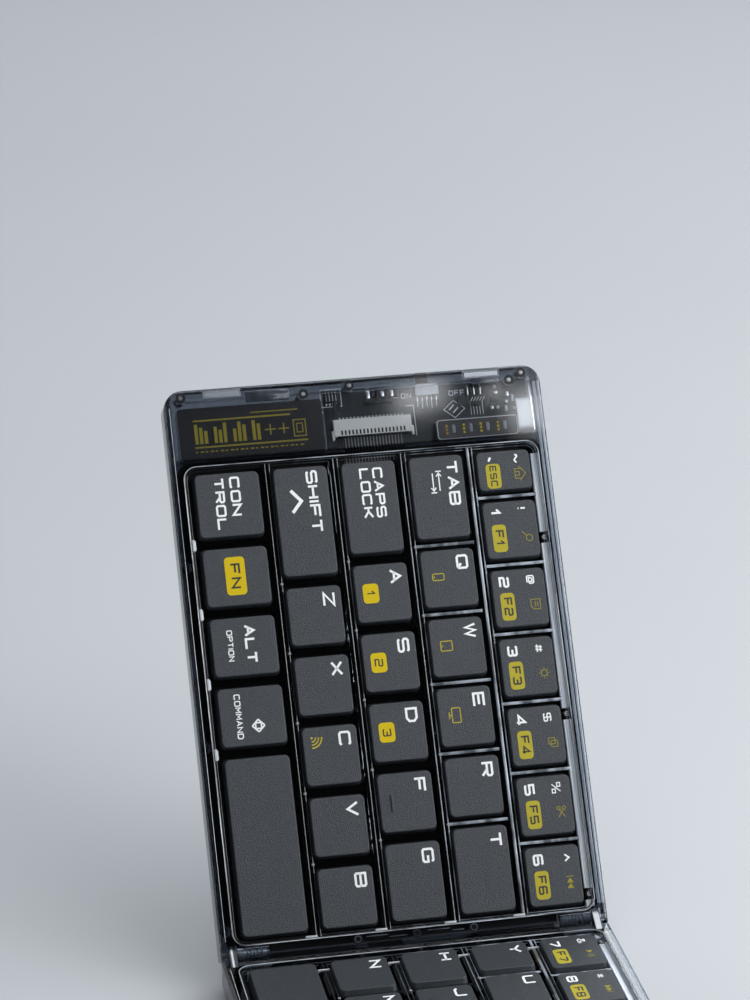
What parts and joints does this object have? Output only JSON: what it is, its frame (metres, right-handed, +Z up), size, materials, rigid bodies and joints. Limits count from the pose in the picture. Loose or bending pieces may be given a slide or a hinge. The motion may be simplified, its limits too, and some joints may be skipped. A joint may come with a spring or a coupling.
{
  "type": "folding keyboard",
  "caption": "Folding keyboard standing half open: smoky transparent halves with dark keys, a battery and board under a window, and a friction hinge with link plates.",
  "frame": {"origin": "middle of the base of the bounding box, on the desk, with the left half leaning open 57 degrees from flat", "axes": "+X along the key rows of the flat half, away from the hinge; +Y from the front edge to the back edge; +Z up from the desk"},
  "size_m": [0.232, 0.0994, 0.1309],
  "materials": {
    "smoky_shell": "clear smoky polycarbonate, polished",
    "black_steel": "satin black",
    "matrix_sheet": "dark film with rubber domes",
    "hinge_steel": "ground steel",
    "flat_cable": "dark film with fine light lines",
    "screw_steel": "plain steel",
    "foot_rubber": "matt black",
    "magnet_nickel": "bright nickel",
    "circuit_board": "black solder mask",
    "battery_wrap": "black wrap with yellow print",
    "connector_plastic": "ivory",
    "port_steel": "bright steel",
    "panel_plastic": "dark panel with light outline",
    "knob_plastic": "black",
    "key_cap": "dark grey, finely grained, with print"
  },
  "bodies": {
    "right_half": {"right_top_shell": "smoky_shell", "right_bottom_shell": "smoky_shell", "right_key_plate": "black_steel", "right_key_matrix": "matrix_sheet", "right_hinge_shafts": "hinge_steel", "right_screws": "screw_steel", "right_feet": "foot_rubber", "right_magnets": "magnet_nickel"},
    "hinge_link": {"hinge_link": "hinge_steel", "hinge_flex": "flat_cable"},
    "left_half": {"left_top_shell": "smoky_shell", "left_bottom_shell": "smoky_shell", "left_key_plate": "black_steel", "left_key_matrix": "matrix_sheet", "left_hinge_shafts": "hinge_steel", "left_screws": "screw_steel", "left_feet": "foot_rubber", "left_magnets": "magnet_nickel", "main_board": "circuit_board", "battery": "battery_wrap", "ribbon_cable": "flat_cable", "ribbon_connector": "connector_plastic", "usb_c_port": "port_steel", "indicator_panel": "panel_plastic"},
    "power_knob": {"power_knob": "knob_plastic"},
    "key_backquote": {"key_backquote": "key_cap"},
    "key_1": {"key_1": "key_cap"},
    "key_2": {"key_2": "key_cap"},
    "key_3": {"key_3": "key_cap"},
    "key_4": {"key_4": "key_cap"},
    "key_5": {"key_5": "key_cap"},
    "key_6": {"key_6": "key_cap"},
    "key_tab": {"key_tab": "key_cap"},
    "key_q": {"key_q": "key_cap"},
    "key_w": {"key_w": "key_cap"},
    "key_e": {"key_e": "key_cap"},
    "key_r": {"key_r": "key_cap"},
    "key_t": {"key_t": "key_cap"},
    "key_caps": {"key_caps": "key_cap"},
    "key_a": {"key_a": "key_cap"},
    "key_s": {"key_s": "key_cap"},
    "key_d": {"key_d": "key_cap"},
    "key_f": {"key_f": "key_cap"},
    "key_g": {"key_g": "key_cap"},
    "key_shift": {"key_shift": "key_cap"},
    "key_z": {"key_z": "key_cap"},
    "key_x": {"key_x": "key_cap"},
    "key_c": {"key_c": "key_cap"},
    "key_v": {"key_v": "key_cap"},
    "key_b": {"key_b": "key_cap"},
    "key_control": {"key_control": "key_cap"},
    "key_fn": {"key_fn": "key_cap"},
    "key_alt": {"key_alt": "key_cap"},
    "key_meta": {"key_meta": "key_cap"},
    "key_left_space": {"key_left_space": "key_cap"},
    "right_keys_row_1": {"right_keys_row_1": "key_cap"},
    "right_keys_row_2": {"right_keys_row_2": "key_cap"},
    "right_keys_row_3": {"right_keys_row_3": "key_cap"},
    "right_keys_row_4": {"right_keys_row_4": "key_cap"},
    "right_keys_row_5": {"right_keys_row_5": "key_cap"}
  },
  "joints": [
    {"name": "link_fold", "type": "hinge", "parent": "right_half", "child": "hinge_link", "pos_m": [-0.02866, 0, 0.0065], "axis": [0, 1, 0], "range_deg": [-28.5, 61.5]},
    {"name": "lid_fold", "type": "hinge", "parent": "hinge_link", "child": "left_half", "pos_m": [-0.03288, 0, 0.00879], "axis": [0, 1, 0], "range_deg": [-28.5, 61.5]},
    {"name": "power_slide", "type": "slide", "parent": "left_half", "child": "power_knob", "axis": [0, 1, 0], "range_m": [0, 0.002]},
    {"name": "key_backquote_press", "type": "slide", "parent": "left_half", "child": "key_backquote", "axis": [-0.8387, 0, -0.5446], "range_m": [0, 0.0012], "stiffness_N_per_m": 400},
    {"name": "key_1_press", "type": "slide", "parent": "left_half", "child": "key_1", "axis": [-0.8387, 0, -0.5446], "range_m": [0, 0.0012], "stiffness_N_per_m": 400},
    {"name": "key_2_press", "type": "slide", "parent": "left_half", "child": "key_2", "axis": [-0.8387, 0, -0.5446], "range_m": [0, 0.0012], "stiffness_N_per_m": 400},
    {"name": "key_3_press", "type": "slide", "parent": "left_half", "child": "key_3", "axis": [-0.8387, 0, -0.5446], "range_m": [0, 0.0012], "stiffness_N_per_m": 400},
    {"name": "key_4_press", "type": "slide", "parent": "left_half", "child": "key_4", "axis": [-0.8387, 0, -0.5446], "range_m": [0, 0.0012], "stiffness_N_per_m": 400},
    {"name": "key_5_press", "type": "slide", "parent": "left_half", "child": "key_5", "axis": [-0.8387, 0, -0.5446], "range_m": [0, 0.0012], "stiffness_N_per_m": 400},
    {"name": "key_6_press", "type": "slide", "parent": "left_half", "child": "key_6", "axis": [-0.8387, 0, -0.5446], "range_m": [0, 0.0012], "stiffness_N_per_m": 400},
    {"name": "key_tab_press", "type": "slide", "parent": "left_half", "child": "key_tab", "axis": [-0.8387, 0, -0.5446], "range_m": [0, 0.0012], "stiffness_N_per_m": 400},
    {"name": "key_q_press", "type": "slide", "parent": "left_half", "child": "key_q", "axis": [-0.8387, 0, -0.5446], "range_m": [0, 0.0012], "stiffness_N_per_m": 400},
    {"name": "key_w_press", "type": "slide", "parent": "left_half", "child": "key_w", "axis": [-0.8387, 0, -0.5446], "range_m": [0, 0.0012], "stiffness_N_per_m": 400},
    {"name": "key_e_press", "type": "slide", "parent": "left_half", "child": "key_e", "axis": [-0.8387, 0, -0.5446], "range_m": [0, 0.0012], "stiffness_N_per_m": 400},
    {"name": "key_r_press", "type": "slide", "parent": "left_half", "child": "key_r", "axis": [-0.8387, 0, -0.5446], "range_m": [0, 0.0012], "stiffness_N_per_m": 400},
    {"name": "key_t_press", "type": "slide", "parent": "left_half", "child": "key_t", "axis": [-0.8387, 0, -0.5446], "range_m": [0, 0.0012], "stiffness_N_per_m": 400},
    {"name": "key_caps_press", "type": "slide", "parent": "left_half", "child": "key_caps", "axis": [-0.8387, 0, -0.5446], "range_m": [0, 0.0012], "stiffness_N_per_m": 400},
    {"name": "key_a_press", "type": "slide", "parent": "left_half", "child": "key_a", "axis": [-0.8387, 0, -0.5446], "range_m": [0, 0.0012], "stiffness_N_per_m": 400},
    {"name": "key_s_press", "type": "slide", "parent": "left_half", "child": "key_s", "axis": [-0.8387, 0, -0.5446], "range_m": [0, 0.0012], "stiffness_N_per_m": 400},
    {"name": "key_d_press", "type": "slide", "parent": "left_half", "child": "key_d", "axis": [-0.8387, 0, -0.5446], "range_m": [0, 0.0012], "stiffness_N_per_m": 400},
    {"name": "key_f_press", "type": "slide", "parent": "left_half", "child": "key_f", "axis": [-0.8387, 0, -0.5446], "range_m": [0, 0.0012], "stiffness_N_per_m": 400},
    {"name": "key_g_press", "type": "slide", "parent": "left_half", "child": "key_g", "axis": [-0.8387, 0, -0.5446], "range_m": [0, 0.0012], "stiffness_N_per_m": 400},
    {"name": "key_shift_press", "type": "slide", "parent": "left_half", "child": "key_shift", "axis": [-0.8387, 0, -0.5446], "range_m": [0, 0.0012], "stiffness_N_per_m": 400},
    {"name": "key_z_press", "type": "slide", "parent": "left_half", "child": "key_z", "axis": [-0.8387, 0, -0.5446], "range_m": [0, 0.0012], "stiffness_N_per_m": 400},
    {"name": "key_x_press", "type": "slide", "parent": "left_half", "child": "key_x", "axis": [-0.8387, 0, -0.5446], "range_m": [0, 0.0012], "stiffness_N_per_m": 400},
    {"name": "key_c_press", "type": "slide", "parent": "left_half", "child": "key_c", "axis": [-0.8387, 0, -0.5446], "range_m": [0, 0.0012], "stiffness_N_per_m": 400},
    {"name": "key_v_press", "type": "slide", "parent": "left_half", "child": "key_v", "axis": [-0.8387, 0, -0.5446], "range_m": [0, 0.0012], "stiffness_N_per_m": 400},
    {"name": "key_b_press", "type": "slide", "parent": "left_half", "child": "key_b", "axis": [-0.8387, 0, -0.5446], "range_m": [0, 0.0012], "stiffness_N_per_m": 400},
    {"name": "key_control_press", "type": "slide", "parent": "left_half", "child": "key_control", "axis": [-0.8387, 0, -0.5446], "range_m": [0, 0.0012], "stiffness_N_per_m": 400},
    {"name": "key_fn_press", "type": "slide", "parent": "left_half", "child": "key_fn", "axis": [-0.8387, 0, -0.5446], "range_m": [0, 0.0012], "stiffness_N_per_m": 400},
    {"name": "key_alt_press", "type": "slide", "parent": "left_half", "child": "key_alt", "axis": [-0.8387, 0, -0.5446], "range_m": [0, 0.0012], "stiffness_N_per_m": 400},
    {"name": "key_meta_press", "type": "slide", "parent": "left_half", "child": "key_meta", "axis": [-0.8387, 0, -0.5446], "range_m": [0, 0.0012], "stiffness_N_per_m": 400},
    {"name": "key_left_space_press", "type": "slide", "parent": "left_half", "child": "key_left_space", "axis": [-0.8387, 0, -0.5446], "range_m": [0, 0.0012], "stiffness_N_per_m": 400},
    {"name": "right_keys_row_1_press", "type": "slide", "parent": "right_half", "child": "right_keys_row_1", "axis": [0, 0, -1], "range_m": [0, 0.0012], "stiffness_N_per_m": 1600},
    {"name": "right_keys_row_2_press", "type": "slide", "parent": "right_half", "child": "right_keys_row_2", "axis": [0, 0, -1], "range_m": [0, 0.0012], "stiffness_N_per_m": 1600},
    {"name": "right_keys_row_3_press", "type": "slide", "parent": "right_half", "child": "right_keys_row_3", "axis": [0, 0, -1], "range_m": [0, 0.0012], "stiffness_N_per_m": 1600},
    {"name": "right_keys_row_4_press", "type": "slide", "parent": "right_half", "child": "right_keys_row_4", "axis": [0, 0, -1], "range_m": [0, 0.0012], "stiffness_N_per_m": 1600},
    {"name": "right_keys_row_5_press", "type": "slide", "parent": "right_half", "child": "right_keys_row_5", "axis": [0, 0, -1], "range_m": [0, 0.0012], "stiffness_N_per_m": 1600}
  ],
  "couplings": [
    {"joint": "link_fold", "follows": "lid_fold", "ratio": 1}
  ]
}
